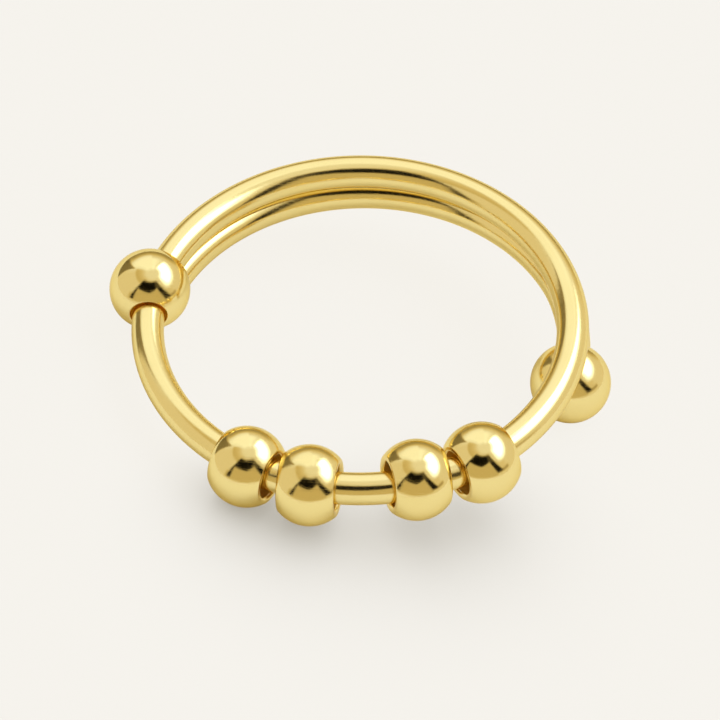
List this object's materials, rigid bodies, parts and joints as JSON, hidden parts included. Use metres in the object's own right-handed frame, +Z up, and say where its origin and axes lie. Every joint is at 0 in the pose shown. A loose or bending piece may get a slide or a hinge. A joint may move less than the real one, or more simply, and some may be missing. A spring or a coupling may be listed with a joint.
{
  "type": "beaded ring",
  "caption": "Slim polished wire finger ring with loose drilled beads that slide along its front and a ball at each end of the soldered back wire.",
  "frame": {"origin": "on the table that the ring lies on, under the middle of its bounding box", "axes": "+Z up from the table, +X to the right as the ring is seen from its beaded front, +Y from the beads to the back of the ring"},
  "size_m": [0.0218, 0.0206, 0.0051],
  "materials": {
    "band_gold": "polished",
    "bead_gold": "polished"
  },
  "bodies": {
    "band": {"band": "band_gold"},
    "bead_1": {"bead_1": "bead_gold"},
    "bead_2": {"bead_2": "bead_gold"},
    "bead_3": {"bead_3": "bead_gold"},
    "bead_4": {"bead_4": "bead_gold"}
  },
  "joints": [
    {"name": "bead_1_travel", "type": "hinge", "parent": "band", "child": "bead_1", "pos_m": [-0.00016, 0.00032, 0.00306], "axis": [-0.1365, -0.0654, 0.9885], "range_deg": [-53.5, 0]},
    {"name": "bead_2_travel", "type": "hinge", "parent": "band", "child": "bead_2", "pos_m": [-0.00016, 0.00032, 0.00306], "axis": [-0.1365, -0.0654, 0.9885], "range_deg": [0, 5.3]},
    {"name": "bead_3_travel", "type": "hinge", "parent": "band", "child": "bead_3", "pos_m": [-0.00016, 0.00032, 0.00306], "axis": [-0.1365, -0.0654, 0.9885], "range_deg": [-5.3, 0.6]},
    {"name": "bead_4_travel", "type": "hinge", "parent": "band", "child": "bead_4", "pos_m": [-0.00016, 0.00032, 0.00306], "axis": [-0.1365, -0.0654, 0.9885], "range_deg": [-0.6, 33]}
  ]
}
